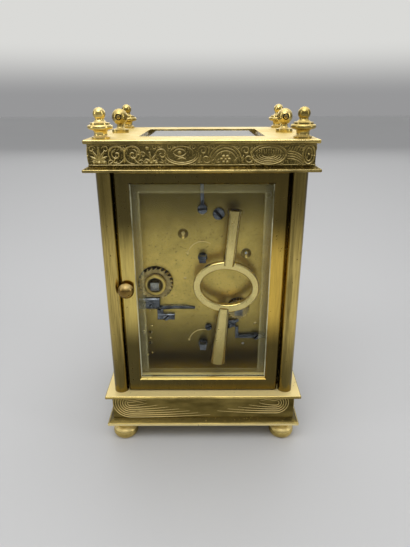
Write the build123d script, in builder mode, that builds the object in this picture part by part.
from build123d import *
import math
import os

os.makedirs("parts", exist_ok=True)

# Carriage clock with alarm. Lengths are in millimetres and angles in degrees.
# The feet stand on Z = 0, the rear door faces +Y and the dial faces -Y.

# Feet and base
foot_height = 7.4
foot_radius = 4.8
foot_sole_radius = 3.9
foot_neck_radius = 3.3
foot_flange_radius = 3.9
foot_bun_share = 0.6
foot_stud_radius = 1.4
foot_inset = 5.8
base_width = 73.0
base_depth = 61.4
base_height = 13.5
base_overhang = 2.2
base_lip = 1.2
base_slope = 0.9
base_wall = 1.6
base_top = 1.8
bottom_plate = 1.2
bottom_ledge = 0.9
edge_round = 0.4

# Clearances
fit = 0.05
slip = 0.1

# Corner pillars
pillar_length = 82.0
pillar_radius = 2.65
pillar_inset_x = 5.65
pillar_inset_y = 5.35
pillar_proud = 1.0
tenon_radius = 1.1

# Cornice and roof window
cornice_height = 9.6
cornice_overhang = 1.9
cornice_lip = 1.0
cornice_slope = 0.8
top_inset = 0.8
top_lip = 1.2
cavity_border_x = 8.9
cavity_border_y = 8.2
roof = 2.5
window_border_x = 16.0
window_border_y = 13.7
retainer_thick = 1.0
retainer_screw_radius = 0.7
retainer_screw_head = 1.5
retainer_screw_inset = 2.4

# Bevelled glass
glass_rim = 1.2
glass_rise = 1.0
glass_bevel = 2.6
glass_cover = 1.5
groove_depth = 1.0
pane_head_gap = 0.3

# Finials and handle posts
finial_stud_radius = 0.8
finial_stud_grip = 5.0
finial_foot_radius = 2.8
finial_neck_radius = 2.0
finial_disc_radius = 3.85
finial_step_radius = 3.05
finial_collar_radius = 1.4
finial_ball_radius = 1.9
finial_height = 9.1
post_inset = 7.2
post_foot_radius = 3.0
post_foot_height = 1.2
post_neck_radius = 1.15
post_ball_radius = 2.75
post_height = 8.1
post_bore_radius = 0.8
post_stud_radius = 1.0
post_stud_length = 4.0

# Rear door
door_thick = 3.0
door_side_gap = 0.35
door_end_gap = 0.25
door_stile = 4.75
door_edge = 0.45
door_bottom_rail = 5.2
door_top_rail = 3.9
door_lip = 1.3
door_round = 1.4
pin_radius = 0.8
pin_grip = 3.4
pin_reach = 1.5
knob_radius = 2.7
knob_length = 3.8
knob_dome = 1.8
knob_neck_radius = 1.5
knob_shank_radius = 0.9
knob_inset = 1.75
knob_height = 42.0

# Movement plates
plate_side_gap = 5.35
plate_head_room = 6.0
plate_thick = 2.0
plate_rear_gap = 10.35
plate_front_gap = 10.35
movement_pillar_radius = 2.0
movement_pillar_inset_x = 2.7
movement_pillar_inset_z = 4.1
plate_screw_radius = 0.9
plate_screw_head = 1.9
plate_screw_head_height = 1.0
seat_screw_head = 2.0
seat_screw_head_height = 1.5
arbor_radius = 0.8
pivot_radius = 0.5
pivot_inset = 0.3
end_shake = 0.15
sink_radius = 1.9
sink_depth = 0.7
sink_slope = 58.0

# Wheel positions on the plates, from the centre arbor or the base top
centre_height = 49.8
going_share = 0.3412
going_drop = 10.3
alarm_share = -0.2608
alarm_drop = 20.6
alarm_dial_height = 14.2
third_angle = 50.6
alarm_wheel_angle = 225.0
minute_wheel_angle = -45.0
stop_share = -0.3078
stop_rise = 1.0

# Going train: teeth and modules
barrel_teeth = 36
barrel_module = 0.5
intermediate_leaves = 8
intermediate_teeth = 45
intermediate_module = 0.4
centre_leaves = 9
centre_teeth = 44
centre_module = 0.42
third_leaves = 8
third_teeth = 48
third_module = 0.36
contrate_leaves = 8
contrate_teeth = 32
contrate_radius = 5.8
escape_leaves = 8
escape_teeth = 15
barrel_rim = 1.6
wheel_thick = 1.0
barrel_stand_off = 13.0
intermediate_step = 4.0
centre_wheel_step = 8.0
contrate_step = 4.0
third_wheel_share = 0.35
pinion_over = 0.2
wheel_rim = 1.2
hub_radius = 1.9
spoke_width = 1.1

# Barrels, springs and winding work
drum_radius = 8.3
drum_end_gap = 1.5
drum_wall = 0.7
mainspring_inner = 2.7
mainspring_pitch = 0.85
mainspring_thick = 0.35
winding_radius = 2.0
winding_front_radius = 1.4
winding_pivot_radius = 1.0
winding_square = 3.0
winding_reach = 4.2
ratchet_teeth = 24
ratchet_radius = 6.6
ratchet_tooth = 1.1
ratchet_thick = 1.5
ratchet_gap = 0.3
ratchet_boss_radius = 4.2
ratchet_boss_height = 0.6
click_angle = 262.0
click_root_gap = 0.2
going_click_gap_angle = 3.0
click_thick = 1.3
click_boss_radius = 1.8
click_screw_radius = 0.75
click_screw_head = 1.25
click_screw_head_height = 0.6
going_click_x = 4.6
going_click_drop = 7.8
going_spring_drop = 10.2
going_spring_length = 16.0
going_spring_end_x = 1.6
spring_width = 1.5
spring_tip_width = 0.9
spring_thick = 1.2
spring_foot_width = 6.6
spring_foot_height = 2.4
spring_foot_drop = 2.4
spring_web = 2.4

# Alarm work
alarm_barrel_teeth = 30
alarm_wheel_leaves = 8
alarm_wheel_teeth = 18
alarm_wheel_radius = 4.4
alarm_wheel_tooth = 1.1
alarm_wheel_step = 6.0
alarm_drum_radius = 6.8
alarm_drum_share = 0.83
alarm_ratchet_radius = 4.3
alarm_ratchet_tooth = 0.8
alarm_click_boss_radius = 1.5
alarm_click_gap_angle = 4.5
alarm_click_x = 3.4
alarm_click_drop = 6.6
alarm_spring_drop = 11.9
alarm_spring_start_x = 0.9
alarm_spring_length = 11.6
alarm_finger_width = 1.2
alarm_finger_rise = 3.4
bell_radius = 13.0
bell_height = 7.8
bell_wall = 1.2
bell_roof_gap = 1.2
bell_post_radius = 1.5
bell_post_flange = 3.0
bell_post_flange_height = 0.8
bell_pin_radius = 0.9
hammer_gap = 0.8
hammer_head_radius = 1.8
hammer_head_length = 3.0
hammer_arm_width = 1.2
hammer_arm_thick = 0.8
hammer_drop = 0.7
hammer_rim_rise = 1.6
hammer_swing = 5.0
lever_gap = 0.3
stop_arm_width = 1.4

# Platform escapement
platform_width = 26.0
platform_thick = 1.5
platform_screw_radius = 0.5
platform_screw_head = 1.1
platform_screw_head_height = 0.7
platform_screw_inset = 2.0
crown_tooth = 1.3
crown_rim = 0.8
crown_slot_share = 0.65
crown_depth = 0.5
escape_radius = 3.0
escape_tooth = 0.8
escape_thick = 0.5
escape_rise = 1.0
escape_arbor_radius = 0.45
fine_pivot_radius = 0.3
pallet_distance = 4.47
lever_length = 5.0
lever_width = 0.7
stone_offset = 1.9
stone_back = 1.25
balance_distance = 6.5
balance_radius = 6.5
balance_rim = 1.0
balance_thick = 1.0
balance_rise = 3.6
roller_radius = 1.2
cock_rise = 5.7
cock_thick = 1.4
cock_width = 4.0
cock_foot = 3.8
cock_foot_gap = 1.1
cock_boss_radius = 1.2
bridge_rise = 2.4
bridge_thick = 0.9
bridge_width = 2.0
bridge_span = 9.6
hairspring_inner = 1.3
hairspring_outer = 3.9
hairspring_pitch = 0.62
hairspring_thick = 0.15
hairspring_height = 0.6
regulator_radius = 2.4
regulator_width = 1.2
regulator_thick = 0.6
regulator_stand_off = 0.9
regulator_tip_height = 66.1
regulator_tip_radius = 1.4

# Motion work, dial and hands
cannon_leaves = 12
minute_teeth = 36
minute_module = 0.3
minute_leaves = 10
hour_teeth = 40
motion_thick = 0.6
cannon_radius = 1.25
hour_pipe_radius = 2.0
centre_radius = 1.0
setting_square = 2.4
setting_collar_radius = 1.7
setting_collar_height = 1.2
stud_radius = 0.7
dial_gap = 4.5
dial_thick = 0.8
dial_side_gap = 5.0
dial_head_gap = 9.0
dial_bottom = 5.5
mask_thick = 0.7
mask_side_gap = 3.85
mask_margin = 0.5
mask_post_inset_x = 1.3
mask_post_inset_z = 12.0
dial_share = 0.4432
alarm_dial_radius = 7.0
dial_foot_radius = 0.9
dial_foot_inset = 2.0
hand_gap = 0.4
hand_thick = 0.4
minute_hand_share = 0.872
hour_hand_share = 0.59
alarm_hand_length = 5.2
hand_hub = 0.9

# Winding key
key_x = -8.45
key_height = 40.1
key_stand_off = 5.6
key_tilt = 5.35
bow_half_width = 11.9
bow_half_height = 9.75
bow_band_side = 2.7
bow_band_end = 2.95
bow_thick = 2.4
bow_round = 0.7
key_upper_length = 28.1
key_lower_length = 30.9
key_neck_radius = 2.1
key_upper_radius = 2.25
key_lower_radius = 3.05
key_collar = 0.25
key_collar_length = 1.2
key_lower_socket_depth = 12.0
key_upper_socket_depth = 9.0

# Levels and places that follow from the sizes above
base_top_z = foot_height + base_height
cornice_z = base_top_z + pillar_length
cornice_width = base_width
cornice_depth = base_depth
top_width = cornice_width - 2 * top_inset
top_depth = cornice_depth - 2 * top_inset
cavity_width = cornice_width - 2 * cavity_border_x
cavity_depth = cornice_depth - 2 * cavity_border_y
window_width = cornice_width - 2 * window_border_x
window_depth = cornice_depth - 2 * window_border_y
post_span = cornice_width - 2 * post_inset
pillar_span_x = base_width - 2 * pillar_inset_x
pillar_span_y = base_depth - 2 * pillar_inset_y
top_z = cornice_z + cornice_height
pillar_x = pillar_span_x / 2
pillar_y = pillar_span_y / 2
corners = [(sx * pillar_x, sy * pillar_y) for sx in (-1, 1) for sy in (-1, 1)]
band_width = base_width - 2 * base_overhang
band_depth = base_depth - 2 * base_overhang
inner_width = band_width - 2 * base_wall
inner_depth = band_depth - 2 * base_wall
base_ceiling_z = base_top_z - base_top
frieze_width = cornice_width - 2 * cornice_overhang
frieze_depth = cornice_depth - 2 * cornice_overhang
roof_z = top_z - roof
door_face_y = pillar_y + pillar_radius - pillar_proud
door_back_y = door_face_y - door_thick
door_half = pillar_x - pillar_radius - door_side_gap
door_bottom_z = base_top_z + door_end_gap
door_top_z = cornice_z - door_end_gap
door_sight_width = 2 * (door_half - door_stile)
hinge = (-(door_half - door_thick / 2), door_back_y + door_thick / 2)
plate_width = pillar_span_x - 2 * plate_side_gap
plate_height = pillar_length - plate_head_room
rear_plate_y = pillar_y - plate_rear_gap
plate_gap = pillar_span_y - plate_rear_gap - plate_front_gap - 2 * plate_thick
rear_in = rear_plate_y - plate_thick
front_in = rear_in - plate_gap
front_plate_y = front_in - plate_thick
plate_top_z = base_top_z + plate_height
barrel_rim_y = front_in + barrel_stand_off
drum_length = rear_in - drum_end_gap - barrel_rim_y
alarm_drum_length = alarm_drum_share * drum_length
intermediate_y = barrel_rim_y - intermediate_step
centre_wheel_y = barrel_rim_y - centre_wheel_step
contrate_y = barrel_rim_y - contrate_step
alarm_wheel_y = barrel_rim_y - alarm_wheel_step
third_wheel_y = barrel_rim_y + third_wheel_share * drum_length
platform_depth = plate_gap + 2 * plate_thick
mask_width = pillar_span_x - 2 * mask_side_gap
dial_width = mask_width - 2 * dial_side_gap
dial_height = plate_height - dial_head_gap
dial_radius = dial_share * dial_width
minute_hand_length = minute_hand_share * dial_radius
hour_hand_length = hour_hand_share * dial_radius
key_y = rear_plate_y + key_stand_off


def polar(centre, radius, angle):
    """The point at a radius and angle from a centre, on the plates' own X and Z."""
    turn = math.radians(angle)
    return (centre[0] + radius * math.cos(turn), centre[1] + radius * math.sin(turn))


def bearing(start, end):
    """The angle of the line from one point to another."""
    return math.degrees(math.atan2(end[1] - start[1], end[0] - start[0]))


def distance(start, end):
    return math.hypot(end[0] - start[0], end[1] - start[1])


def meet(first, first_radius, second, second_radius):
    """Where two circles cross, on the right of the line from the first to the second."""
    span = distance(first, second)
    along = (first_radius**2 - second_radius**2 + span**2) / (2 * span)
    across = math.sqrt(first_radius**2 - along**2)
    foot = polar(first, along, bearing(first, second))
    return polar(foot, across, bearing(first, second) + 90)


def mesh(teeth, leaves, module):
    """The distance between the centres of a wheel and its pinion."""
    return (teeth + leaves) * module / 2


centre = (0, base_top_z + centre_height)
going = (going_share * plate_width, centre[1] - going_drop)
alarm = (alarm_share * plate_width, centre[1] - alarm_drop)
alarm_dial = (0, base_top_z + alarm_dial_height)
intermediate = meet(
    going,
    mesh(barrel_teeth, intermediate_leaves, barrel_module),
    centre,
    mesh(intermediate_teeth, centre_leaves, intermediate_module),
)
third = polar(centre, mesh(centre_teeth, third_leaves, centre_module), third_angle)
contrate_reach = mesh(third_teeth, contrate_leaves, third_module)
contrate = (0, third[1] + math.sqrt(contrate_reach**2 - third[0] ** 2))
alarm_wheel_at = polar(
    alarm, mesh(alarm_barrel_teeth, alarm_wheel_leaves, barrel_module), alarm_wheel_angle
)
minute_at = polar(centre, mesh(minute_teeth, cannon_leaves, minute_module), minute_wheel_angle)
hour_module = 2 * distance(centre, minute_at) / (hour_teeth + minute_leaves)
stop_at = (stop_share * plate_width, centre[1] + stop_rise)
hammer_y = alarm_wheel_y - hammer_arm_thick / 2
hammer_x = -(bell_radius + hammer_gap + hammer_head_radius)
hammer_at = (hammer_x, alarm_dial[1] - hammer_drop)
bell_rim_z = base_ceiling_z - bell_roof_gap - bell_height
hammer_head_z = bell_rim_z + hammer_rim_rise
going_click_at = (going[0] + going_click_x, going[1] - going_click_drop)
alarm_click_at = (alarm[0] + alarm_click_x, alarm[1] - alarm_click_drop)
movement_posts = [
    (side * (plate_width / 2 - movement_pillar_inset_x), level)
    for side in (-1, 1)
    for level in (base_top_z + movement_pillar_inset_z, plate_top_z - movement_pillar_inset_z)
]
seat_posts = [post for post in movement_posts if post[1] < centre[1]]

# Places on the escapement platform, seen from above
escape_pinion_radius = contrate_radius * escape_leaves / contrate_teeth
escape_module = 2 * escape_pinion_radius / escape_leaves
crown_tip_y = contrate_y - wheel_thick - crown_tooth - pinion_over
escape_tip = escape_pinion_radius + 1.15 * escape_module
escape_y = crown_tip_y - (escape_tip - crown_depth)
pallet_y = escape_y + pallet_distance
balance_y = pallet_y + balance_distance
platform_z = plate_top_z + platform_thick

# Screws on the back plate that hold pieces out of sight, by place and head radius
plain_screws = [((-5.7, centre[1] + 15.7), 2.1), ((-2.1, centre[1] - 28.7), 1.3)]
blind_holes = [
    (plate_width / 2 - inset, alarm_dial[1] + rise) for inset, rise in ((2.5, 4.5), (5.2, 4.5), (4.9, -0.3))
]
blind_hole_radius = 0.7


def facing(y):
    """A plane across the clock at a depth, looking to the front: its axes are X and Z."""
    return Plane.XZ.offset(-y)


def rod(at, radius, rear, front, mode=Mode.ADD):
    """A round bar along the depth of the clock."""
    with BuildSketch(facing(rear)) as outline:
        with Locations(at):
            Circle(radius)
    extrude(outline.sketch, amount=rear - front, mode=mode)


def square_bar(at, side, rear, front, mode=Mode.ADD):
    """A square bar along the depth of the clock."""
    with BuildSketch(facing(rear)) as outline:
        with Locations(at):
            Rectangle(side, side)
    extrude(outline.sketch, amount=rear - front, mode=mode)


def post(at, radius, bottom, top, mode=Mode.ADD):
    """A round bar standing upright."""
    with BuildSketch(Plane.XY.offset(bottom)) as outline:
        with Locations(at):
            Circle(radius)
    extrude(outline.sketch, amount=top - bottom, mode=mode)


def slab(x_range, y_range, z_range, mode=Mode.ADD):
    """A plain block between three pairs of limits."""
    middle = ((x_range[0] + x_range[1]) / 2, (y_range[0] + y_range[1]) / 2)
    with BuildSketch(Plane.XY.offset(z_range[0])) as outline:
        with Locations(middle):
            Rectangle(x_range[1] - x_range[0], y_range[1] - y_range[0])
    extrude(outline.sketch, amount=z_range[1] - z_range[0], mode=mode)


def staff(at):
    """An arbor between the plates with a pivot in each of them."""
    rod(at, arbor_radius, rear_in - end_shake, front_in + end_shake)
    rod(at, pivot_radius, rear_plate_y - pivot_inset, front_plate_y + pivot_inset)


def tooth_points(teeth, module, phase, leaf=False):
    """Corners of a wheel's outline, or of a pinion's; one tooth points along the phase angle."""
    foot_share, tip_share, above, below = (0.5, 0.16, 0.8, 1.3) if leaf else (0.62, 0.2, 0.9, 1.3)
    step = 360 / teeth
    root = teeth * module / 2 - below * module
    tip = teeth * module / 2 + above * module
    points = []
    for tooth in range(teeth):
        middle = phase + tooth * step
        points.append(polar((0, 0), root, middle - foot_share * step / 2))
        points.append(polar((0, 0), tip, middle - tip_share * step / 2))
        points.append(polar((0, 0), tip, middle + tip_share * step / 2))
        points.append(polar((0, 0), root, middle + foot_share * step / 2))
    return points


def saw_points(teeth, radius, depth, phase):
    """Corners of a ratchet's outline: each tooth ends in a radial face at the phase angle."""
    step = 360 / teeth
    points = []
    for tooth in range(teeth):
        points.append(polar((0, 0), radius - depth, phase + (tooth - 1) * step))
        points.append(polar((0, 0), radius, phase + tooth * step))
    return points


def pinion(at, leaves, module, phase, rear, front):
    """A solid pinion along the depth of the clock."""
    with BuildSketch(facing(rear)) as outline:
        with Locations(at):
            Polygon(*tooth_points(leaves, module, phase, leaf=True), align=None)
    extrude(outline.sketch, amount=rear - front)


def wheel(at, teeth, module, phase, rear, thick, hub=hub_radius, spokes=5):
    """A toothed wheel with crossed-out spokes."""
    rim = teeth * module / 2 - 1.3 * module - wheel_rim
    with BuildSketch(facing(rear)) as outline:
        with Locations(at):
            Polygon(*tooth_points(teeth, module, phase), align=None)
            Circle(rim, mode=Mode.SUBTRACT)
            Circle(hub)
            with PolarLocations(0, spokes, start_angle=90):
                Rectangle(rim + wheel_rim / 2, spoke_width, align=(Align.MIN, Align.CENTER))
    extrude(outline.sketch, amount=thick)


def spiral(inner, outer, pitch, thick):
    """A flat spiral strip of half circles, drawn in the sketch that is open."""
    turns = int(2 * (outer - inner) / pitch)
    sides = []
    for edge in (-thick / 2, thick / 2):
        reach = [inner + edge + half * pitch / 2 for half in range(turns + 1)]
        sides.append([(-1) ** half * r for half, r in enumerate(reach)])
    with BuildLine() as edge:
        for side in sides:
            for half, (start, end) in enumerate(zip(side, side[1:])):
                crest = (-1) ** half * abs(start - end) / 2
                ThreePointArc((start, 0), ((start + end) / 2, crest), (end, 0))
        Line((sides[0][0], 0), (sides[1][0], 0))
        Line((sides[0][-1], 0), (sides[1][-1], 0))
    make_face(edge.edges())


def least_gap(inner, outer, pitch, thick):
    """The least gap between the turns of a spiral strip, measured on points of its middle line."""
    line = []
    for half in range(int(2 * (outer - inner) / pitch)):
        start = (-1) ** half * (inner + half * pitch / 2)
        end = -((-1) ** half) * (inner + (half + 1) * pitch / 2)
        radius = abs(start - end) / 2
        for step in range(36):
            angle = 180 * half + 5 * step
            line.append((angle, polar(((start + end) / 2, 0), radius, angle)))
    pairs = [(a, b) for a in line for b in line if b[0] - a[0] > 180]
    return min(distance(a[1], b[1]) for a, b in pairs) - thick


def pane(plane, width, height):
    """A bevelled glass: a flat rim, then a bevel rising to the flat middle."""
    with BuildSketch(plane) as rim:
        Rectangle(width, height)
    extrude(rim.sketch, amount=glass_rim)
    shoulder = 2 * (glass_cover + slip)
    with BuildSketch(plane.offset(glass_rim)) as low:
        Rectangle(width - shoulder, height - shoulder)
    with BuildSketch(plane.offset(glass_rim + glass_rise)) as high:
        Rectangle(width - shoulder - 2 * glass_bevel, height - shoulder - 2 * glass_bevel)
    loft([low.sketch.face(), high.sketch.face()])


def lip(width, depth, thick, z):
    """A flat moulding with softened edges."""
    with BuildPart() as moulding:
        with BuildSketch(Plane.XY.offset(z)):
            Rectangle(width, depth)
        extrude(amount=thick)
        fillet(moulding.edges(), radius=edge_round)
    return moulding.part


def slope(width, depth, overhang, bottom, height):
    """The slanting face from a lip in to the plain band."""
    with BuildSketch(Plane.XY.offset(bottom)) as low:
        Rectangle(width - 2 * edge_round, depth - 2 * edge_round)
    with BuildSketch(Plane.XY.offset(bottom + height)) as high:
        Rectangle(width - 2 * overhang, depth - 2 * overhang)
    loft([low.sketch.face(), high.sketch.face()])


def keep(builder, name):
    """Label a finished piece and write it to its own file."""
    builder.part.label = name
    export_step(builder.part, f"parts/{name}.step")


# Base: a hollow plinth with a lip at its foot and one at its head
base_foot_lip = lip(base_width, base_depth, base_lip, foot_height)
base_head_lip = lip(base_width, base_depth, base_lip, base_top_z - base_lip)
with BuildPart() as base_plinth:
    add(base_foot_lip)
    slope(base_width, base_depth, base_overhang, foot_height + base_lip, base_slope)
    slab(
        (-band_width / 2, band_width / 2),
        (-band_depth / 2, band_depth / 2),
        (foot_height + base_lip, base_top_z - base_lip / 2),
    )
    add(base_head_lip)
    slab(
        (-inner_width / 2, inner_width / 2),
        (-inner_depth / 2, inner_depth / 2),
        (foot_height, base_ceiling_z),
        mode=Mode.SUBTRACT,
    )
    slab(
        (-inner_width / 2 - bottom_ledge, inner_width / 2 + bottom_ledge),
        (-inner_depth / 2 - bottom_ledge, inner_depth / 2 + bottom_ledge),
        (foot_height, foot_height + bottom_plate),
        mode=Mode.SUBTRACT,
    )
    with Locations(*[(x, y, base_top_z) for x, y in corners]):
        Hole(tenon_radius + fit, depth=base_top)
    with Locations((*hinge, base_top_z)):
        Hole(pin_radius + fit, depth=base_top)
    with Locations(*[(x, 0, base_top_z) for x, z in seat_posts]):
        Hole(plate_screw_radius + slip, depth=base_top)
    slab(
        (hammer_x - hammer_swing, hammer_x + hammer_head_radius),
        (hammer_y - hammer_arm_thick, hammer_y + hammer_arm_thick),
        (base_ceiling_z, base_top_z),
        mode=Mode.SUBTRACT,
    )
keep(base_plinth, "base_plinth")

foot_places = [
    (sx * (base_width / 2 - foot_inset), sy * (base_depth / 2 - foot_inset))
    for sx in (-1, 1)
    for sy in (-1, 1)
]
with BuildPart() as base_bottom_plate:
    slab(
        (-inner_width / 2 - bottom_ledge + fit, inner_width / 2 + bottom_ledge - fit),
        (-inner_depth / 2 - bottom_ledge + fit, inner_depth / 2 + bottom_ledge - fit),
        (foot_height, foot_height + bottom_plate),
    )
    with Locations(*[(x, y, foot_height + bottom_plate) for x, y in foot_places]):
        Hole(foot_stud_radius + fit, depth=bottom_plate)
    with Locations((0, hammer_y, foot_height + bottom_plate)):
        Hole(bell_pin_radius + fit, depth=bottom_plate)
keep(base_bottom_plate, "base_bottom_plate")

with BuildPart() as foot_form:
    with BuildSketch(Plane.XZ):
        with BuildLine():
            bun_height = foot_bun_share * foot_height
            bun_top = (foot_neck_radius, bun_height)
            flange_low = (foot_flange_radius, (bun_height + 3 * foot_height) / 4)
            Polyline((0, foot_height), (0, 0), (foot_sole_radius, 0))
            ThreePointArc((foot_sole_radius, 0), (foot_radius, bun_height / 2), bun_top)
            ThreePointArc(bun_top, (foot_neck_radius + 0.05, bun_height + 0.9), flange_low)
            Polyline(flange_low, (foot_flange_radius, foot_height), (0, foot_height))
        make_face()
    revolve(axis=Axis.Z)
    post((0, 0), foot_stud_radius, foot_height, foot_height + bottom_plate)
with BuildPart() as bun_feet:
    with Locations(*foot_places):
        add(foot_form.part)
keep(bun_feet, "bun_feet")

# Corner pillars, grooved for the edges of the front and side glasses


def pillar(x, y):
    """One corner pillar with its tenon, its stud hole and its glass grooves."""
    post((x, y), pillar_radius, base_top_z, cornice_z)
    post((x, y), tenon_radius, base_ceiling_z, base_top_z)
    stud_end = cornice_z - finial_stud_grip - slip
    post((x, y), finial_stud_radius + fit, stud_end, cornice_z, mode=Mode.SUBTRACT)
    half = glass_rim / 2 + slip
    inward = -math.copysign(1, y)
    near = y + inward * (pillar_radius - groove_depth)
    far = y + inward * (pillar_radius + slip)
    span = (min(near, far), max(near, far))
    slab((x - half, x + half), span, (base_top_z, cornice_z), mode=Mode.SUBTRACT)
    if y < 0:
        inward = -math.copysign(1, x)
        near = x + inward * (pillar_radius - groove_depth)
        far = x + inward * (pillar_radius + slip)
        span = (min(near, far), max(near, far))
        slab(span, (y - half, y + half), (base_top_z, cornice_z), mode=Mode.SUBTRACT)


with BuildPart() as front_pillars:
    for x, y in corners:
        if y < 0:
            pillar(x, y)
keep(front_pillars, "front_pillars")
with BuildPart() as rear_pillars:
    for x, y in corners:
        if y > 0:
            pillar(x, y)
keep(rear_pillars, "rear_pillars")

# Cornice: a lower lip, the frieze band and the top plate with its window
cornice_lip_part = lip(cornice_width, cornice_depth, cornice_lip, cornice_z)
top_plate_part = lip(top_width, top_depth, top_lip, top_z - top_lip)
pocket_width = window_width + 2 * glass_cover + 2 * slip
pocket_depth = window_depth + 2 * glass_cover + 2 * slip
post_places = [(side * post_span / 2, 0) for side in (-1, 1)]
retainer_screws = [
    (sx * (cavity_width / 2 - retainer_screw_inset), sy * (cavity_depth / 2 - retainer_screw_inset))
    for sx in (-1, 1)
    for sy in (-1, 1)
]
retainer_z = roof_z - retainer_thick
with BuildPart() as cornice:
    add(cornice_lip_part)
    slope(cornice_width, cornice_depth, cornice_overhang, cornice_z + cornice_lip, cornice_slope)
    slab(
        (-frieze_width / 2, frieze_width / 2),
        (-frieze_depth / 2, frieze_depth / 2),
        (cornice_z + cornice_lip, top_z - top_lip / 2),
    )
    add(top_plate_part)
    slab(
        (-cavity_width / 2, cavity_width / 2),
        (-cavity_depth / 2, cavity_depth / 2),
        (cornice_z, roof_z),
        mode=Mode.SUBTRACT,
    )
    slab(
        (-pocket_width / 2, pocket_width / 2),
        (-pocket_depth / 2, pocket_depth / 2),
        (roof_z, roof_z + glass_rim),
        mode=Mode.SUBTRACT,
    )
    slab(
        (-window_width / 2, window_width / 2),
        (-window_depth / 2, window_depth / 2),
        (roof_z + glass_rim, top_z),
        mode=Mode.SUBTRACT,
    )
    with Locations(*[(x, y, top_z) for x, y in corners]):
        Hole(finial_stud_radius + fit, depth=cornice_height)
    with Locations(*[(x, y, top_z) for x, y in post_places]):
        Hole(post_stud_radius + fit, depth=post_stud_length + slip)
    for at in retainer_screws:
        post(at, retainer_screw_radius + fit, roof_z, roof_z + glass_rim, mode=Mode.SUBTRACT)
    post(hinge, pin_radius + fit, cornice_z, cornice_z + pin_reach + slip, mode=Mode.SUBTRACT)
keep(cornice, "cornice")

with BuildPart() as top_glass:
    pane(Plane.XY.offset(roof_z), window_width + 2 * glass_cover, window_depth + 2 * glass_cover)
keep(top_glass, "top_glass")

with BuildPart() as top_glass_retainer:
    slab(
        (-cavity_width / 2 + slip, cavity_width / 2 - slip),
        (-cavity_depth / 2 + slip, cavity_depth / 2 - slip),
        (retainer_z, roof_z),
    )
    slab(
        (-window_width / 2, window_width / 2),
        (-window_depth / 2, window_depth / 2),
        (retainer_z, roof_z),
        mode=Mode.SUBTRACT,
    )
    for at in retainer_screws:
        post(at, retainer_screw_radius + fit, retainer_z, roof_z, mode=Mode.SUBTRACT)
keep(top_glass_retainer, "top_glass_retainer")

with BuildPart() as case_screws:
    for at in retainer_screws:
        post(at, retainer_screw_head, retainer_z - retainer_thick, retainer_z)
        post(at, retainer_screw_radius, retainer_z, roof_z + glass_rim - slip)
keep(case_screws, "case_screws")

# Front and side glasses stand in the pillars' grooves
pane_height = pillar_length - pane_head_gap
pane_z = base_top_z + pane_height / 2
front_pane_width = 2 * (pillar_x - pillar_radius + groove_depth - slip)
side_pane_width = 2 * (pillar_y - pillar_radius + groove_depth - slip)
with BuildPart() as front_glass:
    front_plane = Plane(
        origin=(0, -pillar_y + glass_rim / 2, pane_z), x_dir=(1, 0, 0), z_dir=(0, -1, 0)
    )
    pane(front_plane, front_pane_width, pane_height)
keep(front_glass, "front_glass")
with BuildPart() as side_glasses:
    for side in (-1, 1):
        side_plane = Plane(
            origin=(side * (pillar_x - glass_rim / 2), 0, pane_z),
            x_dir=(0, side, 0),
            z_dir=(side, 0, 0),
        )
        pane(side_plane, side_pane_width, pane_height)
keep(side_glasses, "side_glasses")

# Turned finials and the two posts for a carrying handle
finial_ball_z = finial_height - finial_ball_radius
with BuildPart() as finial_form:
    with BuildSketch(Plane.XZ):
        with BuildLine():
            foot_top = (finial_foot_radius, 0.6)
            neck = (finial_neck_radius, 1.7)
            disc_low = (finial_disc_radius - 0.5, 2.75)
            disc_high = (finial_disc_radius - 0.35, 4.05)
            step_low = (finial_step_radius, 4.15)
            step_high = (finial_step_radius - 0.1, 4.7)
            ball_low = finial_ball_z - math.sqrt(finial_ball_radius**2 - finial_collar_radius**2)
            ball_start = (finial_collar_radius, ball_low)
            collar = (finial_collar_radius, ball_low - 0.2)
            Polyline((0, finial_height), (0, 0), (finial_foot_radius, 0), foot_top)
            ThreePointArc(foot_top, (finial_neck_radius + 0.15, 0.95), neck)
            ThreePointArc(neck, (finial_neck_radius + 0.3, 2.45), disc_low)
            ThreePointArc(disc_low, (finial_disc_radius, 3.4), disc_high)
            Polyline(disc_high, step_low, step_high)
            ThreePointArc(step_high, (finial_collar_radius + 0.5, 4.95), collar)
            Line(collar, ball_start)
            ThreePointArc(ball_start, (finial_ball_radius, finial_ball_z), (0, finial_height))
        make_face()
    revolve(axis=Axis.Z)
    post((0, 0), finial_stud_radius, -cornice_height - finial_stud_grip, 0)
with BuildPart() as finials:
    with Locations(*[(x, y, top_z) for x, y in corners]):
        add(finial_form.part)
keep(finials, "finials")

post_ball_z = post_height - post_ball_radius
with BuildPart() as post_form:
    with BuildSketch(Plane.XZ):
        with BuildLine():
            ball_low = post_ball_z - math.sqrt(post_ball_radius**2 - post_neck_radius**2)
            ball_start = (post_neck_radius, ball_low)
            foot_edge = (post_foot_radius, post_foot_height)
            cove_start = (post_foot_radius - 0.5, post_foot_height + 0.1)
            cove_end = (post_neck_radius, ball_low - 0.45)
            Polyline((0, post_height), (0, 0), (post_foot_radius, 0), foot_edge, cove_start)
            ThreePointArc(cove_start, (post_neck_radius + 0.35, post_foot_height + 0.4), cove_end)
            Line(cove_end, ball_start)
            ThreePointArc(ball_start, (post_ball_radius, post_ball_z), (0, post_height))
        make_face()
    revolve(axis=Axis.Z)
    post((0, 0), post_stud_radius, -post_stud_length, 0)
    with BuildSketch(Plane.YZ):
        with Locations((0, post_ball_z)):
            Circle(post_bore_radius)
    extrude(amount=post_ball_radius, both=True, mode=Mode.SUBTRACT)
with BuildPart() as handle_posts:
    with Locations(*[(x, y, top_z) for x, y in post_places]):
        add(post_form.part)
keep(handle_posts, "handle_posts")

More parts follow.
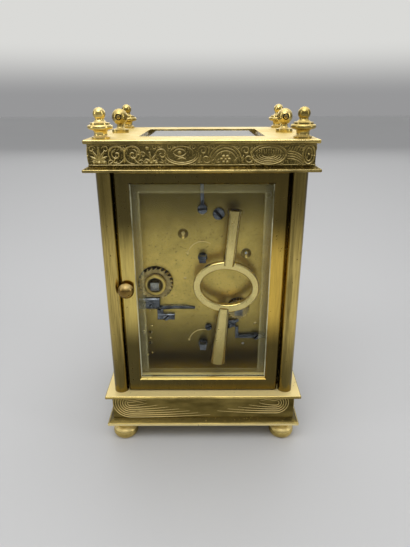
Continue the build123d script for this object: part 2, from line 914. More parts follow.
# Rear door: frame, glass, bead, knob and the two pins that it turns on
sight_bottom_z = door_bottom_z + door_bottom_rail
sight_top_z = door_top_z - door_top_rail
sight_height = sight_top_z - sight_bottom_z
sight_z = (sight_bottom_z + sight_top_z) / 2
sight_x = (-door_sight_width / 2, door_sight_width / 2)
rebate = glass_cover + slip
rebate_x = (sight_x[0] - rebate, sight_x[1] + rebate)
rebate_z = (sight_bottom_z - rebate, sight_top_z + rebate)
glass_back_y = door_face_y - door_lip - glass_rim
knob_at = (door_half - knob_inset, base_top_z + knob_height)
with BuildPart() as door_frame:
    slab((-door_half, door_half), (door_back_y, door_face_y), (door_bottom_z, door_top_z))
    upright = door_frame.edges().filter_by(Axis.Z)
    fillet(upright.group_by(Axis.X)[0], radius=door_round)
    slab(sight_x, (door_back_y, door_face_y), (sight_bottom_z, sight_top_z), mode=Mode.SUBTRACT)
    slab(rebate_x, (door_back_y, door_face_y - door_lip), rebate_z, mode=Mode.SUBTRACT)
    post(hinge, pin_radius, door_bottom_z, door_bottom_z + pin_grip, mode=Mode.SUBTRACT)
    post(hinge, pin_radius, door_top_z - pin_grip, door_top_z, mode=Mode.SUBTRACT)
    rod(knob_at, knob_shank_radius, door_face_y, door_back_y, mode=Mode.SUBTRACT)
    face_edges = door_frame.faces().sort_by(Axis.Y)[-1].edges()
    chamfer(face_edges.filter_by(GeomType.LINE), length=door_edge)
keep(door_frame, "door_frame")

with BuildPart() as door_glass:
    glass_plane = Plane(origin=(0, glass_back_y, sight_z), x_dir=(-1, 0, 0), z_dir=(0, 1, 0))
    pane(glass_plane, door_sight_width + 2 * glass_cover, sight_height + 2 * glass_cover)
keep(door_glass, "door_glass")

with BuildPart() as door_glass_bead:
    slab(
        (rebate_x[0] + fit, rebate_x[1] - fit),
        (door_back_y, glass_back_y),
        (rebate_z[0] + fit, rebate_z[1] - fit),
    )
    slab(sight_x, (door_back_y, glass_back_y), (sight_bottom_z, sight_top_z), mode=Mode.SUBTRACT)
keep(door_glass_bead, "door_glass_bead")

knob_dome_y = knob_length - knob_dome
dome_radius = (knob_radius**2 + knob_dome**2) / (2 * knob_dome)
dome_angle = 90 - math.degrees(math.asin(knob_radius / dome_radius)) / 2
dome_middle = polar((0, knob_length - dome_radius), dome_radius, dome_angle)
with BuildPart() as door_knob:
    knob_plane = Plane(origin=(knob_at[0], door_face_y, knob_at[1]), x_dir=(1, 0, 0), z_dir=(0, 0, 1))
    with BuildSketch(knob_plane):
        with BuildLine():
            rim_low = (knob_radius, 1.4)
            Polyline((0, knob_length), (0, -door_thick), (knob_shank_radius, -door_thick))
            Polyline((knob_shank_radius, -door_thick), (knob_shank_radius, 0), (knob_neck_radius + 0.5, 0))
            Line((knob_neck_radius + 0.5, 0), (knob_neck_radius, 0.6))
            Polyline((knob_neck_radius, 0.6), (knob_neck_radius, 1.0), rim_low)
            Line(rim_low, (knob_radius, knob_dome_y))
            ThreePointArc((knob_radius, knob_dome_y), dome_middle, (0, knob_length))
        make_face()
    revolve(axis=Axis((knob_at[0], door_face_y, knob_at[1]), (0, 1, 0)))
keep(door_knob, "door_knob")

with BuildPart() as door_pivot_pins:
    post(hinge, pin_radius, base_top_z - pin_reach, door_bottom_z + pin_grip)
    post(hinge, pin_radius, door_top_z - pin_grip, cornice_z + pin_reach)
keep(door_pivot_pins, "door_pivot_pins")

# Movement plates with every pivot, screw and post hole
train_pivots = [intermediate, third, contrate, alarm_wheel_at, hammer_at, stop_at]
plate_x = (-plate_width / 2, plate_width / 2)
dial_bottom_z = base_top_z + dial_bottom
dial_top_z = dial_bottom_z + dial_height
dial_feet = [
    (side * (dial_width / 2 - dial_foot_inset), level)
    for side in (-1, 1)
    for level in (dial_bottom_z + dial_foot_inset, dial_top_z - dial_foot_inset)
]
mask_posts = [
    (side * (plate_width / 2 - mask_post_inset_x), level)
    for side in (-1, 1)
    for level in (base_top_z + mask_post_inset_z, plate_top_z - mask_post_inset_z)
]
going_screw_at = (going[0] - 3.4, going[1] - going_spring_drop - spring_foot_drop - spring_foot_height / 2)
alarm_screw_at = (alarm[0] - 7.0, alarm[1] - alarm_spring_drop)
spring_screws = [going_screw_at, alarm_screw_at]


def plate(rear):
    """A movement plate with the holes that both plates share."""
    slab(plate_x, (rear - plate_thick, rear), (base_top_z, plate_top_z))
    for at in train_pivots:
        rod(at, pivot_radius + fit, rear, rear - plate_thick, mode=Mode.SUBTRACT)
    for at in (centre, alarm_dial):
        rod(at, centre_radius + fit, rear, rear - plate_thick, mode=Mode.SUBTRACT)
    for at in movement_posts:
        rod(at, plate_screw_radius + fit, rear, rear - plate_thick, mode=Mode.SUBTRACT)
    for x in (-platform_width / 2 + platform_screw_inset, platform_width / 2 - platform_screw_inset):
        hole_bottom = plate_top_z - platform_thick - slip
        at = (x, rear - plate_thick / 2)
        post(at, platform_screw_radius + fit, hole_bottom, plate_top_z, mode=Mode.SUBTRACT)


with BuildPart() as rear_plate:
    plate(rear_plate_y)
    for at in (going, alarm):
        rod(at, winding_radius + fit, rear_plate_y, rear_in, mode=Mode.SUBTRACT)
    for at in (going_click_at, alarm_click_at):
        rod(at, click_screw_radius + fit, rear_plate_y, rear_in, mode=Mode.SUBTRACT)
    for at in spring_screws + [place for place, head in plain_screws]:
        rod(at, plate_screw_radius + fit, rear_plate_y, rear_in, mode=Mode.SUBTRACT)
    for at in (third, stop_at):
        with BuildSketch(facing(rear_plate_y)):
            with Locations(at):
                Circle(sink_radius)
        extrude(amount=sink_depth, taper=sink_slope, mode=Mode.SUBTRACT)
    for at in blind_holes:
        rod(at, blind_hole_radius, rear_plate_y, rear_in, mode=Mode.SUBTRACT)
keep(rear_plate, "rear_plate")

with BuildPart() as front_plate:
    plate(front_in)
    for at in (going, alarm):
        rod(at, winding_pivot_radius + fit, front_in, front_plate_y, mode=Mode.SUBTRACT)
    for at in dial_feet:
        rod(at, dial_foot_radius + fit, front_in, front_plate_y, mode=Mode.SUBTRACT)
    for at in mask_posts:
        rod(at, dial_foot_radius + fit, front_in, front_plate_y, mode=Mode.SUBTRACT)
    rod(minute_at, stud_radius, front_plate_y, front_plate_y - dial_gap + 2 * slip)
keep(front_plate, "front_plate")

screw_depth = 4.0
with BuildPart() as movement_pillars:
    for at in movement_posts:
        rod(at, movement_pillar_radius, rear_in, front_in)
        rod(at, plate_screw_radius, rear_plate_y, rear_in)
        rod(at, plate_screw_radius + fit, front_in + screw_depth, front_in, mode=Mode.SUBTRACT)
    for x, z in seat_posts:
        low = z - movement_pillar_radius
        post((x, 0), plate_screw_radius + fit, low, z + slip, mode=Mode.SUBTRACT)
keep(movement_pillars, "movement_pillars")

with BuildPart() as movement_screws:
    for at in movement_posts:
        rod(at, plate_screw_head, front_plate_y, front_plate_y - plate_screw_head_height)
        rod(at, plate_screw_radius, front_in + screw_depth - slip, front_plate_y)
    for at, head in plain_screws:
        rod(at, head, rear_plate_y + plate_screw_head_height, rear_plate_y)
        rod(at, plate_screw_radius, rear_plate_y, rear_in)
    spring_face = rear_plate_y + spring_thick
    for at in spring_screws:
        rod(at, click_screw_head, spring_face + click_screw_head_height, spring_face)
        rod(at, plate_screw_radius, spring_face, rear_in)
    click_face = rear_plate_y + ratchet_gap + click_thick + slip
    for at in (going_click_at, alarm_click_at):
        rod(at, click_screw_head, click_face + click_screw_head_height, click_face)
        rod(at, click_screw_radius, click_face, rear_in)
    for x, z in seat_posts:
        post((x, 0), seat_screw_head, base_ceiling_z - seat_screw_head_height, base_ceiling_z)
        post((x, 0), plate_screw_radius, base_ceiling_z, z)
    for x in (-platform_width / 2 + platform_screw_inset, platform_width / 2 - platform_screw_inset):
        for y in (rear_plate_y - plate_thick / 2, front_in - plate_thick / 2):
            post((x, y), platform_screw_head, platform_z, platform_z + platform_screw_head_height)
            post((x, y), platform_screw_radius, plate_top_z - platform_thick, platform_z)
keep(movement_screws, "movement_screws")

# Going barrel, its spring and its winding work
with BuildPart() as going_barrel:
    rim_front = barrel_rim_y - barrel_rim
    with BuildSketch(facing(barrel_rim_y)):
        with Locations(going):
            phase = bearing(going, intermediate)
            Polygon(*tooth_points(barrel_teeth, barrel_module, phase), align=None)
    extrude(amount=barrel_rim)
    rod(going, drum_radius, barrel_rim_y + drum_length, barrel_rim_y)
    rod(going, drum_radius - drum_wall, barrel_rim_y + drum_length, barrel_rim_y, mode=Mode.SUBTRACT)
    rod(going, winding_radius + fit, barrel_rim_y, rim_front, mode=Mode.SUBTRACT)
keep(going_barrel, "going_barrel")

with BuildPart() as going_mainspring:
    with BuildSketch(facing(barrel_rim_y + drum_length - 2 * slip)):
        with Locations(going):
            with BuildSketch(mode=Mode.PRIVATE) as coil:
                spiral(mainspring_inner, drum_radius - drum_wall - slip, mainspring_pitch, mainspring_thick)
            add(coil.sketch)
    extrude(amount=drum_length - 4 * slip)
keep(going_mainspring, "going_mainspring")


def winding_arbor(at, rim_front):
    """A barrel arbor: square at the back, a bearing in each plate."""
    square_bar(at, winding_square, rear_plate_y + winding_reach, rear_plate_y + slip)
    rod(at, winding_radius, rear_plate_y + slip, rim_front)
    rod(at, winding_front_radius, rim_front, front_in + end_shake)
    rod(at, winding_pivot_radius, front_in + end_shake, front_plate_y + pivot_inset)


with BuildPart() as going_winding_arbor:
    winding_arbor(going, rim_front)
keep(going_winding_arbor, "going_winding_arbor")

ratchet_y = rear_plate_y + ratchet_gap + ratchet_thick


def ratchet(at, radius, tooth, boss):
    """A saw-toothed winding wheel with a raised boss, on the square of its arbor."""
    with BuildSketch(facing(ratchet_y)) as outline:
        with Locations(at):
            Polygon(*saw_points(ratchet_teeth, radius, tooth, click_angle), align=None)
    extrude(outline.sketch, amount=ratchet_thick)
    rod(at, boss, ratchet_y + ratchet_boss_height, ratchet_y)
    square_bar(
        at,
        winding_square + 2 * fit,
        ratchet_y + ratchet_boss_height,
        ratchet_y - ratchet_thick,
        mode=Mode.SUBTRACT,
    )


def click(at, wheel_at, radius, tooth, boss, gap):
    """A pivoted pawl whose beak stands a small angle off one radial tooth face."""
    beak = click_angle + gap
    step = 360 / ratchet_teeth
    beak_root = radius - tooth + tooth * gap / step + click_root_gap
    reach = bearing(at, wheel_at)
    with BuildSketch(facing(rear_plate_y + ratchet_gap + click_thick)) as outline:
        Polygon(
            polar(wheel_at, beak_root, beak),
            polar(wheel_at, radius + 0.3, click_angle + step),
            polar(at, boss * 0.75, reach + 10),
            polar(at, boss * 0.85, reach + 160),
            polar(wheel_at, radius + 0.9, beak),
            align=None,
        )
        with Locations(at):
            Circle(boss)
            Circle(click_screw_radius + fit, mode=Mode.SUBTRACT)
    extrude(outline.sketch, amount=click_thick)


with BuildPart() as going_ratchet:
    ratchet(going, ratchet_radius, ratchet_tooth, ratchet_boss_radius)
keep(going_ratchet, "going_ratchet")
with BuildPart() as going_click:
    click(going_click_at, going, ratchet_radius, ratchet_tooth, click_boss_radius, going_click_gap_angle)
keep(going_click, "going_click")

with BuildPart() as going_click_spring:
    blade_x = going[0] + going_spring_end_x
    blade_z = going[1] - going_spring_drop
    foot_x = going_screw_at[0]
    foot_z = going_screw_at[1]
    with BuildSketch(facing(rear_plate_y + spring_thick)):
        Polygon(
            (blade_x, blade_z - spring_width / 2),
            (blade_x, blade_z + spring_width / 2),
            (blade_x - going_spring_length, blade_z + spring_tip_width / 2),
            (blade_x - going_spring_length, blade_z - spring_tip_width / 2),
            align=None,
        )
        with Locations((foot_x, foot_z)):
            Rectangle(spring_foot_width, spring_foot_height)
            Circle(plate_screw_radius + fit, mode=Mode.SUBTRACT)
        with Locations((foot_x + spring_foot_width / 2, foot_z)):
            Rectangle(spring_web, blade_z - foot_z, align=(Align.MAX, Align.MIN))
    extrude(amount=spring_thick)
keep(going_click_spring, "going_click_spring")

# Going train between the plates
with BuildPart() as intermediate_wheel:
    staff(intermediate)
    leaf_phase = bearing(intermediate, going) + 180 / intermediate_leaves
    rim_rear = barrel_rim_y + pinion_over
    pinion(intermediate, intermediate_leaves, barrel_module, leaf_phase, rim_rear, rim_front - pinion_over)
    tooth_phase = bearing(intermediate, centre)
    wheel(intermediate, intermediate_teeth, intermediate_module, tooth_phase, intermediate_y, wheel_thick)
keep(intermediate_wheel, "intermediate_wheel")

with BuildPart() as centre_wheel:
    leaf_phase = bearing(centre, intermediate) + 180 / centre_leaves
    pinion_rear = intermediate_y + pinion_over
    pinion(centre, centre_leaves, intermediate_module, leaf_phase, pinion_rear, centre_wheel_y)
    tooth_phase = bearing(centre, third)
    wheel(centre, centre_teeth, centre_module, tooth_phase, centre_wheel_y, wheel_thick, hub=2.4)
    rod(centre, centre_radius + fit, pinion_rear, centre_wheel_y - wheel_thick, mode=Mode.SUBTRACT)
keep(centre_wheel, "centre_wheel")

with BuildPart() as third_wheel:
    staff(third)
    leaf_phase = bearing(third, centre) + 180 / third_leaves
    pinion_front = centre_wheel_y - wheel_thick - pinion_over
    pinion(third, third_leaves, centre_module, leaf_phase, centre_wheel_y + pinion_over, pinion_front)
    tooth_phase = bearing(third, contrate)
    wheel(third, third_teeth, third_module, tooth_phase, third_wheel_y, wheel_thick)
keep(third_wheel, "third_wheel")

with BuildPart() as contrate_wheel:
    staff(contrate)
    leaf_phase = bearing(contrate, third) + 180 / contrate_leaves
    pinion_front = third_wheel_y - wheel_thick - pinion_over
    pinion(contrate, contrate_leaves, third_module, leaf_phase, third_wheel_y + pinion_over, pinion_front)
    outer = contrate_radius + crown_rim / 2
    inner = contrate_radius - crown_rim / 2
    with BuildSketch(facing(contrate_y)):
        with Locations(contrate):
            Circle(outer)
            Circle(inner - crown_rim, mode=Mode.SUBTRACT)
            Circle(hub_radius)
            with PolarLocations(0, 4, start_angle=45):
                Rectangle(inner, spoke_width, align=(Align.MIN, Align.CENTER))
    extrude(amount=wheel_thick)
    with BuildSketch(facing(contrate_y - wheel_thick)):
        with Locations(contrate):
            Circle(outer)
            Circle(inner, mode=Mode.SUBTRACT)
    extrude(amount=contrate_y - wheel_thick - crown_tip_y)
    slot = crown_slot_share * 2 * math.pi * contrate_radius / contrate_teeth
    with BuildSketch(facing(crown_tip_y + crown_tooth)):
        with Locations(contrate):
            with PolarLocations(contrate_radius, contrate_teeth, start_angle=90):
                Rectangle(2 * crown_rim, slot)
    extrude(amount=crown_tooth, mode=Mode.SUBTRACT)
keep(contrate_wheel, "contrate_wheel")

# Escapement platform on top of the plates
escape_z = platform_z + escape_rise
escape_at = (0, escape_y)
pallet_at = (0, pallet_y)
balance_at = (0, balance_y)
bridge_z = platform_z + bridge_rise
balance_z = platform_z + balance_rise
cock_z = platform_z + cock_rise
potence_top = contrate[1] + contrate_radius - 3.0
with BuildPart() as platform:
    slab(
        (-platform_width / 2, platform_width / 2),
        (rear_plate_y - platform_depth, rear_plate_y),
        (plate_top_z, platform_z),
    )
    post(escape_at, 2 * escape_arbor_radius, plate_top_z, platform_z, mode=Mode.SUBTRACT)
    for at in (pallet_at, balance_at):
        post(at, fine_pivot_radius + fit, plate_top_z, platform_z, mode=Mode.SUBTRACT)
    for x in (-platform_width / 2 + platform_screw_inset, platform_width / 2 - platform_screw_inset):
        for y in (rear_plate_y - plate_thick / 2, front_in - plate_thick / 2):
            post((x, y), platform_screw_radius + fit, plate_top_z, platform_z, mode=Mode.SUBTRACT)
keep(platform, "platform")

with BuildPart() as escape_wheel:
    with BuildSketch(Plane.XY.offset(escape_z)):
        with Locations(escape_at):
            Polygon(*saw_points(escape_teeth, escape_radius, escape_tooth, 0), align=None)
    extrude(amount=escape_thick)
    post(escape_at, escape_arbor_radius, potence_top + end_shake, bridge_z - end_shake)
    post(escape_at, fine_pivot_radius, potence_top - 0.8, bridge_z + 0.7)
    with BuildSketch(Plane.XY.offset(potence_top + 2 * end_shake)):
        with Locations(escape_at):
            Polygon(*tooth_points(escape_leaves, escape_module, 90, leaf=True), align=None)
    extrude(amount=contrate_radius - potence_top + contrate[1] + crown_rim)
keep(escape_wheel, "escape_wheel")

with BuildPart() as pallet_lever:
    post(pallet_at, escape_arbor_radius, platform_z + end_shake, bridge_z - end_shake)
    post(pallet_at, fine_pivot_radius, platform_z - 0.8, bridge_z + 0.7)
    with BuildSketch(Plane.XY.offset(escape_z)):
        with Locations(pallet_at):
            Circle(2 * escape_arbor_radius)
            Rectangle(lever_width, lever_length, align=(Align.CENTER, Align.MIN))
            for side in (-1, 1):
                Polygon(
                    (0, 0.4),
                    (side * (stone_offset + 0.25), -stone_back + 0.6),
                    (side * (stone_offset + 0.25), -stone_back - 0.3),
                    (side * (stone_offset - 0.25), -stone_back - 0.3),
                    (side * (stone_offset - 0.25), -stone_back + 0.3),
                    (0, -0.4),
                    align=None,
                )
    extrude(amount=escape_thick)
keep(pallet_lever, "pallet_lever")

with BuildPart() as balance_wheel:
    with BuildSketch(Plane.XY.offset(balance_z)):
        with Locations(balance_at):
            Circle(balance_radius)
            Circle(balance_radius - balance_rim, mode=Mode.SUBTRACT)
            Rectangle(2 * balance_radius - balance_rim, spoke_width)
            Circle(hub_radius / 2)
    extrude(amount=balance_thick)
    post(balance_at, escape_arbor_radius, platform_z + end_shake, cock_z - end_shake)
    post(balance_at, fine_pivot_radius, platform_z - 0.8, cock_z + 0.8)
    post(balance_at, roller_radius, escape_z, escape_z + escape_thick)
keep(balance_wheel, "balance_wheel")

foot_near = balance_radius + cock_foot_gap
with BuildPart() as platform_cocks:
    slab(
        (foot_near, foot_near + cock_foot),
        (balance_y - cock_width / 2, balance_y + cock_width / 2),
        (platform_z, cock_z),
    )
    with BuildSketch(Plane.XY.offset(cock_z)):
        with Locations(balance_at):
            Circle(cock_width / 2)
            Rectangle(foot_near + cock_foot, cock_width, align=(Align.MIN, Align.CENTER))
    extrude(amount=cock_thick)
    cock_top = cock_z + cock_thick
    post(balance_at, cock_boss_radius, cock_top, cock_top + regulator_thick + 2 * slip)
    post(balance_at, fine_pivot_radius + fit, cock_z, cock_z + cock_thick, mode=Mode.SUBTRACT)
    for side in (-1, 1):
        post((side * (bridge_span - bridge_width) / 2, escape_y), bridge_width / 2, platform_z, bridge_z)
    with BuildSketch(Plane.XY.offset(bridge_z)):
        with Locations(escape_at):
            SlotOverall(bridge_span, bridge_width)
            Rectangle(bridge_width, pallet_distance + bridge_width / 2, align=(Align.CENTER, Align.MIN))
    extrude(amount=bridge_thick)
    for at in (escape_at, pallet_at):
        post(at, fine_pivot_radius + fit, bridge_z, bridge_z + bridge_thick, mode=Mode.SUBTRACT)
    potence_x = (escape_tip + 0.6, escape_tip + 2.2)
    potence_y = (escape_y - 1.0, crown_tip_y - 0.3)
    slab(potence_x, potence_y, (potence_top - 1.0, plate_top_z))
    slab((-1.0, potence_x[1]), potence_y, (potence_top - 1.0, potence_top))
    post(escape_at, fine_pivot_radius + fit, potence_top - 1.0, potence_top, mode=Mode.SUBTRACT)
keep(platform_cocks, "platform_cocks")

with BuildPart() as hairspring:
    with BuildSketch(Plane.XY.offset(cock_z - slip - hairspring_height)):
        with Locations(balance_at):
            with BuildSketch(mode=Mode.PRIVATE) as coil:
                spiral(hairspring_inner, hairspring_outer, hairspring_pitch, hairspring_thick)
            add(coil.sketch)
    extrude(amount=hairspring_height)
keep(hairspring, "hairspring")

with BuildPart() as regulator:
    index_z = cock_z + cock_thick + slip
    tail_y = rear_plate_y + regulator_stand_off
    with BuildSketch(Plane.XY.offset(index_z)):
        with Locations(balance_at):
            Circle(regulator_radius)
            Rectangle(
                regulator_width,
                tail_y + regulator_thick - balance_y,
                align=(Align.CENTER, Align.MIN),
            )
            Circle(cock_boss_radius + fit, mode=Mode.SUBTRACT)
    extrude(amount=regulator_thick)
    slab(
        (-regulator_width / 2, regulator_width / 2),
        (tail_y, tail_y + regulator_thick),
        (base_top_z + regulator_tip_height, index_z + regulator_thick),
    )
    tip_at = (0, base_top_z + regulator_tip_height + regulator_tip_radius)
    rod(tip_at, regulator_tip_radius, tail_y + regulator_thick, tail_y)
keep(regulator, "regulator")

# Hands and motion work in front of the front plate
dial_y = front_plate_y - dial_gap
mask_y = dial_y - dial_thick
hour_hand_y = mask_y - mask_thick - hand_gap
minute_hand_y = hour_hand_y - hand_thick - 1.5 * hand_gap
cannon_y = front_plate_y - 2 * hand_gap
hour_y = cannon_y - 2 * motion_thick - hand_gap
with BuildPart() as centre_arbor:
    collar_rear = rear_plate_y + ratchet_gap + setting_collar_height
    rod(centre, centre_radius, collar_rear, minute_hand_y - 2 * hand_thick)
    rod(centre, setting_collar_radius, collar_rear, rear_plate_y + ratchet_gap)
    square_bar(centre, setting_square, rear_plate_y + winding_reach, collar_rear)
    rod(centre, cannon_radius, cannon_y, minute_hand_y - hand_thick)
    leaf_phase = bearing(centre, minute_at) + 180 / cannon_leaves
    cannon_front = cannon_y - motion_thick - pinion_over
    pinion(centre, cannon_leaves, minute_module, leaf_phase, cannon_y, cannon_front)
keep(centre_arbor, "centre_arbor")

with BuildPart() as minute_wheel:
    tooth_phase = bearing(minute_at, centre)
    wheel_rear = cannon_y - pinion_over / 2
    wheel(minute_at, minute_teeth, minute_module, tooth_phase, wheel_rear, motion_thick, spokes=3)
    leaves_front = hour_y - motion_thick - pinion_over
    pinion(minute_at, minute_leaves, hour_module, tooth_phase, wheel_rear, leaves_front)
    rod(minute_at, stud_radius + fit, wheel_rear, hour_y - 2 * motion_thick, mode=Mode.SUBTRACT)
keep(minute_wheel, "minute_wheel")

with BuildPart() as hour_wheel:
    tooth_phase = bearing(centre, minute_at) + 180 / hour_teeth
    wheel(centre, hour_teeth, hour_module, tooth_phase, hour_y, motion_thick, hub=2.8, spokes=3)
    rod(centre, hour_pipe_radius, hour_y, hour_hand_y - hand_thick)
    rod(centre, cannon_radius + slip, hour_y, hour_hand_y - hand_thick, mode=Mode.SUBTRACT)
keep(hour_wheel, "hour_wheel")


def hand(at, length, bore, rear, angle):
    """A pear-shaped pierced hand with a hub, a slim stem and a pointed tip."""
    eye = length * 0.62
    eye_radius = length * 0.1
    with BuildSketch(facing(rear)) as outline:
        with Locations(Location((at[0], at[1], 0), (0, 0, angle))):
            Circle(bore + hand_hub)
            Rectangle(eye, length * 0.05, align=(Align.MIN, Align.CENTER))
            with Locations((eye, 0)):
                Circle(eye_radius)
            Polygon((eye, eye_radius), (length, 0), (eye, -eye_radius), align=None)
            with Locations((eye, 0)):
                Circle(eye_radius * 0.55, mode=Mode.SUBTRACT)
            Circle(bore, mode=Mode.SUBTRACT)
    extrude(outline.sketch, amount=hand_thick)


with BuildPart() as minute_hand:
    hand(centre, minute_hand_length, cannon_radius, minute_hand_y, 30)
keep(minute_hand, "minute_hand")
with BuildPart() as hour_hand:
    hand(centre, hour_hand_length, hour_pipe_radius, hour_hand_y, 145)
keep(hour_hand, "hour_hand")

with BuildPart() as alarm_set_arbor:
    rod(alarm_dial, centre_radius, collar_rear, hour_hand_y - 2 * hand_thick)
    rod(alarm_dial, setting_collar_radius, collar_rear, rear_plate_y + ratchet_gap)
    square_bar(alarm_dial, setting_square, rear_plate_y + winding_reach, collar_rear)
keep(alarm_set_arbor, "alarm_set_arbor")
with BuildPart() as alarm_hand:
    hand(alarm_dial, alarm_hand_length, centre_radius, hour_hand_y, 90)
keep(alarm_hand, "alarm_hand")

with BuildPart() as dial:
    slab((-dial_width / 2, dial_width / 2), (mask_y, dial_y), (dial_bottom_z, dial_top_z))
    for at in dial_feet:
        rod(at, dial_foot_radius, front_in, dial_y)
    rod(centre, hour_pipe_radius + hand_gap, dial_y, mask_y, mode=Mode.SUBTRACT)
    rod(alarm_dial, centre_radius + hand_gap, dial_y, mask_y, mode=Mode.SUBTRACT)
keep(dial, "dial")

with BuildPart() as dial_mask:
    slab(
        (-mask_width / 2, mask_width / 2),
        (mask_y - mask_thick, mask_y),
        (base_top_z + mask_margin, cornice_z - mask_margin),
    )
    for at in mask_posts:
        rod(at, dial_foot_radius, front_in, mask_y)
    rod(centre, dial_radius, mask_y, mask_y - mask_thick, mode=Mode.SUBTRACT)
    rod(alarm_dial, alarm_dial_radius, mask_y, mask_y - mask_thick, mode=Mode.SUBTRACT)
keep(dial_mask, "dial_mask")

# Alarm work
with BuildPart() as alarm_barrel:
    with BuildSketch(facing(barrel_rim_y)):
        with Locations(alarm):
            phase = bearing(alarm, alarm_wheel_at)
            Polygon(*tooth_points(alarm_barrel_teeth, barrel_module, phase), align=None)
    extrude(amount=barrel_rim)
    rod(alarm, alarm_drum_radius, barrel_rim_y + alarm_drum_length, barrel_rim_y)
    inside = alarm_drum_radius - drum_wall
    rod(alarm, inside, barrel_rim_y + alarm_drum_length, barrel_rim_y, mode=Mode.SUBTRACT)
    rod(alarm, winding_radius + fit, barrel_rim_y, rim_front, mode=Mode.SUBTRACT)
keep(alarm_barrel, "alarm_barrel")

with BuildPart() as alarm_mainspring:
    with BuildSketch(facing(barrel_rim_y + alarm_drum_length - 2 * slip)):
        with Locations(alarm):
            with BuildSketch(mode=Mode.PRIVATE) as coil:
                spiral(mainspring_inner, inside - slip, mainspring_pitch, mainspring_thick)
            add(coil.sketch)
    extrude(amount=alarm_drum_length - 4 * slip)
keep(alarm_mainspring, "alarm_mainspring")

with BuildPart() as alarm_winding_arbor:
    winding_arbor(alarm, rim_front)
keep(alarm_winding_arbor, "alarm_winding_arbor")
with BuildPart() as alarm_ratchet:
    ratchet(alarm, alarm_ratchet_radius, alarm_ratchet_tooth, winding_square)
keep(alarm_ratchet, "alarm_ratchet")
with BuildPart() as alarm_click:
    click(
        alarm_click_at,
        alarm,
        alarm_ratchet_radius,
        alarm_ratchet_tooth,
        alarm_click_boss_radius,
        alarm_click_gap_angle,
    )
keep(alarm_click, "alarm_click")

with BuildPart() as alarm_click_spring:
    blade_x = alarm[0] + alarm_spring_start_x
    blade_z = alarm[1] - alarm_spring_drop
    with BuildSketch(facing(rear_plate_y + spring_thick)):
        with Locations((blade_x, blade_z)):
            Rectangle(alarm_spring_length, spring_width, align=(Align.MAX, Align.CENTER))
            finger = spring_width / 2 + alarm_finger_rise
            Rectangle(alarm_finger_width, finger, align=(Align.MAX, Align.MIN))
        with Locations(alarm_screw_at):
            Circle(click_screw_head)
            Circle(plate_screw_radius + fit, mode=Mode.SUBTRACT)
    extrude(amount=spring_thick)
keep(alarm_click_spring, "alarm_click_spring")

with BuildPart() as alarm_wheel:
    staff(alarm_wheel_at)
    leaf_phase = bearing(alarm_wheel_at, alarm) + 180 / alarm_wheel_leaves
    pinion(alarm_wheel_at, alarm_wheel_leaves, barrel_module, leaf_phase, rim_rear, rim_front - pinion_over)
    with BuildSketch(facing(alarm_wheel_y)):
        with Locations(alarm_wheel_at):
            Polygon(*saw_points(alarm_wheel_teeth, alarm_wheel_radius, alarm_wheel_tooth, 0), align=None)
    extrude(amount=wheel_thick)
keep(alarm_wheel, "alarm_wheel")

verge_length = distance(hammer_at, alarm_wheel_at) - alarm_wheel_radius - lever_gap
with BuildPart() as alarm_hammer:
    staff(hammer_at)
    arm_length = hammer_at[1] - hammer_head_z
    with BuildSketch(facing(alarm_wheel_y)):
        with Locations(hammer_at):
            Circle(2 * arbor_radius)
            Rectangle(hammer_arm_width, arm_length, align=(Align.CENTER, Align.MAX))
        with Locations(Location((*hammer_at, 0), (0, 0, bearing(hammer_at, alarm_wheel_at)))):
            Rectangle(verge_length, hammer_arm_width, align=(Align.MIN, Align.CENTER))
    extrude(amount=hammer_arm_thick)
    head_rear = hammer_y + hammer_head_length / 2
    rod((hammer_x, hammer_head_z), hammer_head_radius, head_rear, head_rear - hammer_head_length)
keep(alarm_hammer, "alarm_hammer")

stop_length = distance(stop_at, alarm_wheel_at) - alarm_wheel_radius - lever_gap
with BuildPart() as alarm_stop_lever:
    staff(stop_at)
    with BuildSketch(facing(alarm_wheel_y)):
        with Locations(Location((*stop_at, 0), (0, 0, bearing(stop_at, alarm_wheel_at)))):
            Circle(2 * arbor_radius)
            Rectangle(stop_length, stop_arm_width, align=(Align.MIN, Align.CENTER))
    extrude(amount=hammer_arm_thick)
keep(alarm_stop_lever, "alarm_stop_lever")

bell_crown_z = bell_rim_z + bell_height
with BuildPart() as bell:
    with BuildSketch(Plane.XZ.offset(-hammer_y)):
        with BuildLine():
            inner_crown = bell_crown_z - bell_wall
            rim_in = (bell_radius - bell_wall, bell_rim_z)
            rim_out = (bell_radius, bell_rim_z)
            crown_out = (bell_post_radius + 1.5, bell_crown_z)
            crown_in = (bell_post_radius + 1.5, inner_crown)
            hole_out = (bell_pin_radius + fit, bell_crown_z)
            hole_in = (bell_pin_radius + fit, inner_crown)
            middle = (bell_radius * 0.78, bell_rim_z + bell_height * 0.68)
            ThreePointArc(rim_out, middle, crown_out)
            Polyline(crown_out, hole_out, hole_in, crown_in)
            ThreePointArc(crown_in, (middle[0] - bell_wall, middle[1] - bell_wall * 0.8), rim_in)
            Line(rim_in, rim_out)
        make_face()
    revolve(axis=Axis((0, hammer_y, 0), (0, 0, 1)))
keep(bell, "bell")

with BuildPart() as bell_post:
    bell_at = (0, hammer_y)
    plate_z = foot_height + bottom_plate
    post(bell_at, bell_pin_radius, foot_height, plate_z)
    post(bell_at, bell_post_radius, plate_z, bell_crown_z - bell_wall)
    post(bell_at, bell_pin_radius, bell_crown_z - bell_wall, bell_crown_z)
    post(bell_at, bell_post_radius + 0.5, bell_crown_z, bell_crown_z + bell_post_flange_height)
    post(bell_at, bell_post_flange, plate_z, plate_z + bell_post_flange_height)
keep(bell_post, "bell_post")

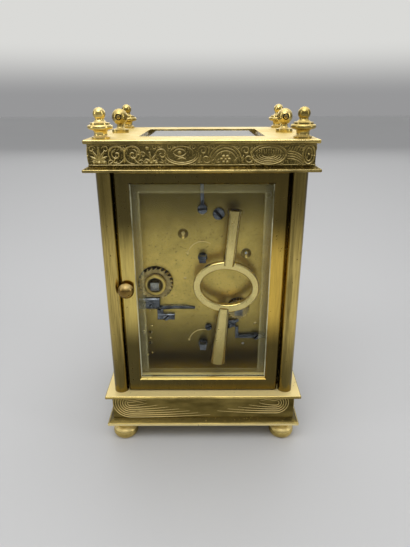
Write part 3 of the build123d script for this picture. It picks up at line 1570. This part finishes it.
# Winding key, stored behind the door on the alarm winding square
tilt = math.radians(key_tilt)
key_plane = Plane(
    origin=(key_x, key_y, base_top_z + key_height),
    x_dir=(math.cos(tilt), 0, math.sin(tilt)),
    z_dir=(0, -1, 0),
)
shank_start = bow_half_height - bow_band_end / 2
with BuildPart() as winding_key:
    with BuildSketch(key_plane):
        Ellipse(bow_half_width, bow_half_height)
        Ellipse(bow_half_width - bow_band_side, bow_half_height - bow_band_end, mode=Mode.SUBTRACT)
    extrude(amount=bow_thick / 2, both=True)
    fillet(winding_key.edges(), radius=bow_round)
    with BuildSketch(key_plane):
        with BuildLine():
            neck_top = (key_neck_radius, shank_start)
            flare_top = (key_upper_radius, key_upper_length - key_collar_length)
            Polyline((0, key_upper_length), (0, shank_start), neck_top, flare_top)
            Line(flare_top, (key_upper_radius + key_collar, key_upper_length - key_collar_length))
            edge_top = (key_upper_radius + key_collar, key_upper_length)
            Polyline((key_upper_radius + key_collar, key_upper_length - key_collar_length), edge_top)
            Line(edge_top, (0, key_upper_length))
        make_face()
    revolve(axis=Axis(key_plane.origin, key_plane.y_dir))
    with BuildSketch(key_plane):
        Polygon(
            (0, -shank_start),
            (key_neck_radius, -shank_start),
            (key_lower_radius, -key_lower_length),
            (0, -key_lower_length),
            align=None,
        )
    revolve(axis=Axis(key_plane.origin, key_plane.y_dir))
    upper_end = Plane(
        origin=key_plane.from_local_coords((0, key_upper_length, 0)),
        x_dir=key_plane.x_dir,
        z_dir=key_plane.y_dir,
    )
    lower_end = Plane(
        origin=key_plane.from_local_coords((0, -key_lower_length, 0)),
        x_dir=key_plane.x_dir,
        z_dir=key_plane.y_dir,
    )
    with BuildSketch(upper_end):
        Rectangle(setting_square + 2 * slip, setting_square + 2 * slip)
    extrude(amount=-key_upper_socket_depth, mode=Mode.SUBTRACT)
    with BuildSketch(lower_end):
        Rectangle(winding_square + 2 * slip, winding_square + 2 * slip)
    extrude(amount=key_lower_socket_depth, mode=Mode.SUBTRACT)
keep(winding_key, "winding_key")

for name, inner, outer, pitch, thick in (
    ("hairspring", hairspring_inner, hairspring_outer, hairspring_pitch, hairspring_thick),
    ("mainspring", mainspring_inner, drum_radius - drum_wall, mainspring_pitch, mainspring_thick),
):
    print(name, "least gap between turns", round(least_gap(inner, outer, pitch, thick), 3), "mm")
